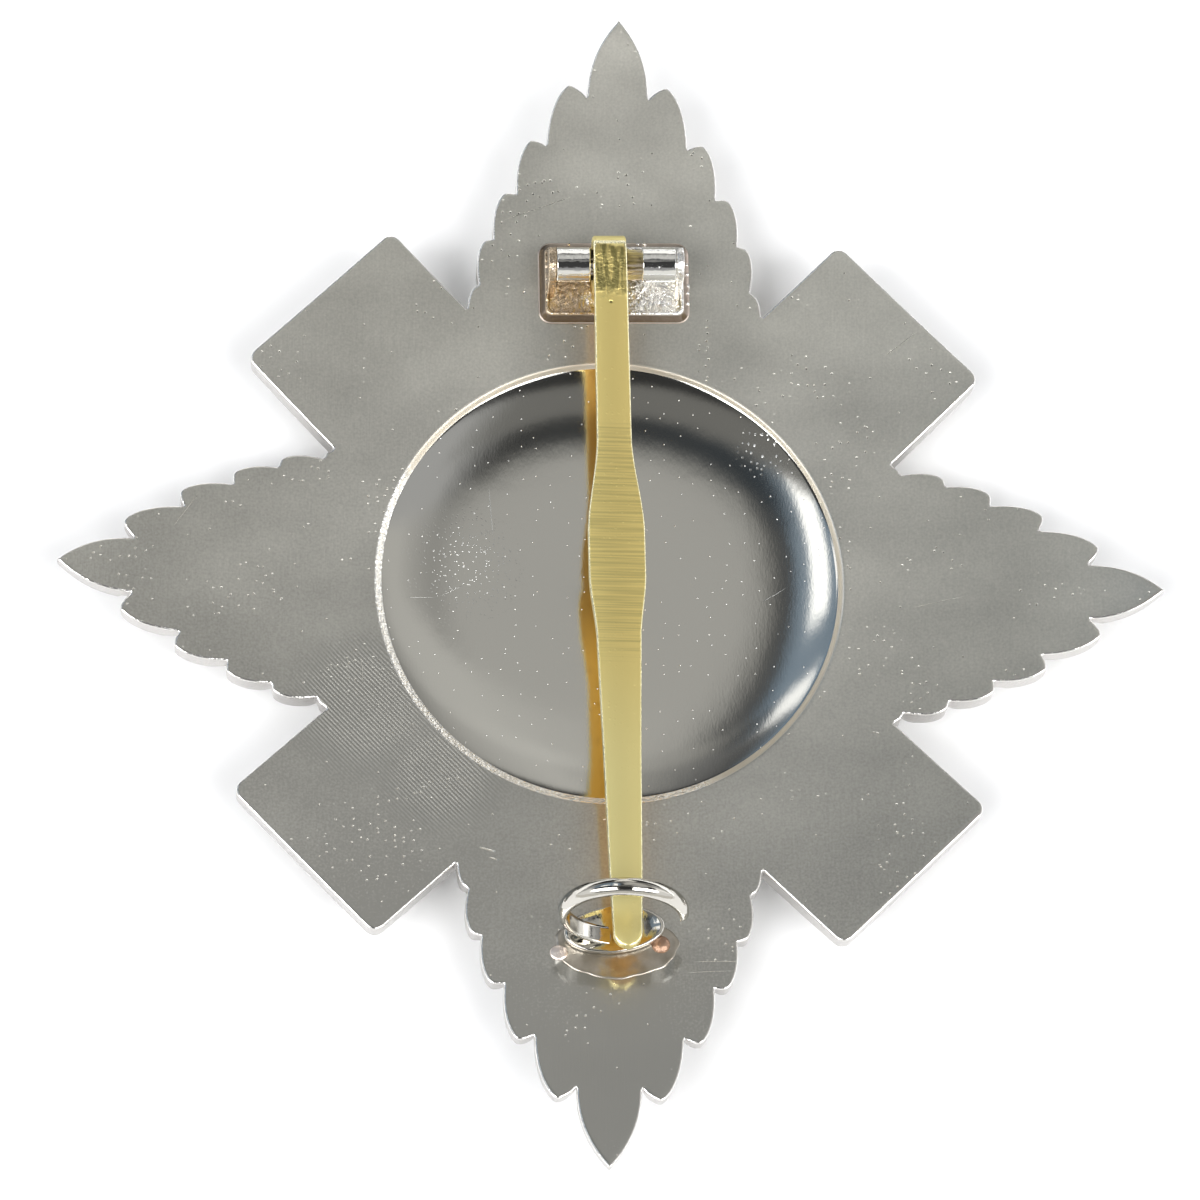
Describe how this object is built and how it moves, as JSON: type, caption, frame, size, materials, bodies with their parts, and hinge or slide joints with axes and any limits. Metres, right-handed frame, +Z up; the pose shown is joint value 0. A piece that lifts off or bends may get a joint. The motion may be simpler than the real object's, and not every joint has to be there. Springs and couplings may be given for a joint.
{
  "type": "breast star",
  "caption": "Four-leaf star with square diagonal arms, seen from its back: dished plate, hinge with rod, broad spring pin and open hook catch.",
  "frame": {"origin": "middle of the star, on the surface it lies on, under the flat ring of the front boss", "axes": "+Z up out of the star's back, +Y toward the hinge end, +X to the right in the picture"},
  "size_m": [0.0764, 0.084, 0.0133],
  "materials": {
    "star_metal": "satin nickel plate with fine brushing, polished in the dish",
    "solder_metal": "plated housing with coppery solder at its edges",
    "rod_metal": "polished",
    "pin_brass": "brushed brass, polished at the bend",
    "catch_metal": "polished strip, rough solder at the foot"
  },
  "bodies": {
    "star": {"star_plate": "star_metal", "hinge_housing": "solder_metal", "hinge_rod": "rod_metal", "catch": "catch_metal"},
    "pin": {"pin_blade": "pin_brass"}
  },
  "joints": [
    {"name": "pin_swing", "type": "hinge", "parent": "star", "child": "pin", "pos_m": [-0.00057, 0.02293, 0.00718], "axis": [-0.9995, -0.0323, 0], "range_deg": [0, 110]}
  ]
}
